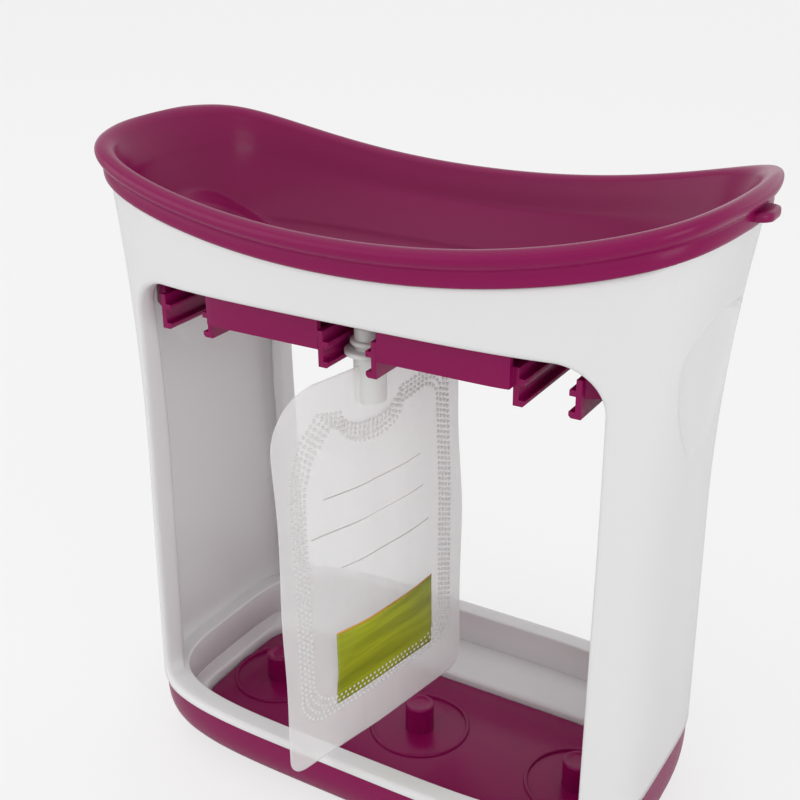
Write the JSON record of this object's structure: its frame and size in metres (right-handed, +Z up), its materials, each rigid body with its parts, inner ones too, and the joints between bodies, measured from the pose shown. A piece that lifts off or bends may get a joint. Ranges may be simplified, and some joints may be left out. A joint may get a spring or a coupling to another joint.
{
  "type": "food pouch filling station",
  "caption": "Countertop station for filling baby food pouches: white oval housing with a large window, magenta foot, lift-off funnel tray with a saddle rim, rails and a hanging pouch.",
  "frame": {"origin": "On the surface that the station stands on, under the middle station's peg, at the centre of the housing's plan.", "axes": "+X to the right along the row of stations, -Y to the front where pouches slide in, +Z up."},
  "size_m": [0.216, 0.1229, 0.2188],
  "materials": {
    "white_plastic": "glossy moulded plastic",
    "magenta_plastic": "glossy moulded plastic",
    "steel": "plated screw",
    "rubber": "matte anti-slip rubber",
    "pouch_film": "frosted translucent film",
    "spout_plastic": "milky translucent plastic"
  },
  "bodies": {
    "housing": {"body_shell": "white_plastic", "base_basin": "white_plastic", "base_foot": "magenta_plastic", "peg_plate": "magenta_plastic", "base_screws": "steel", "pad_front_left": "rubber", "pad_front_right": "rubber", "pad_back_left": "rubber", "pad_back_right": "rubber", "rail_carrier": "magenta_plastic", "carrier_screws": "steel"},
    "tray": {"funnel_tray": "magenta_plastic"},
    "pouch": {"pouch_bag": "pouch_film", "pouch_spout": "spout_plastic"}
  },
  "joints": [
    {"name": "tray_lift", "type": "slide", "parent": "housing", "child": "tray", "axis": [0, 0, 1], "range_m": [0, 0.06]},
    {"name": "pouch_slide", "type": "slide", "parent": "housing", "child": "pouch", "axis": [0, 1, 0], "range_m": [-0.03, 0.029]}
  ]
}
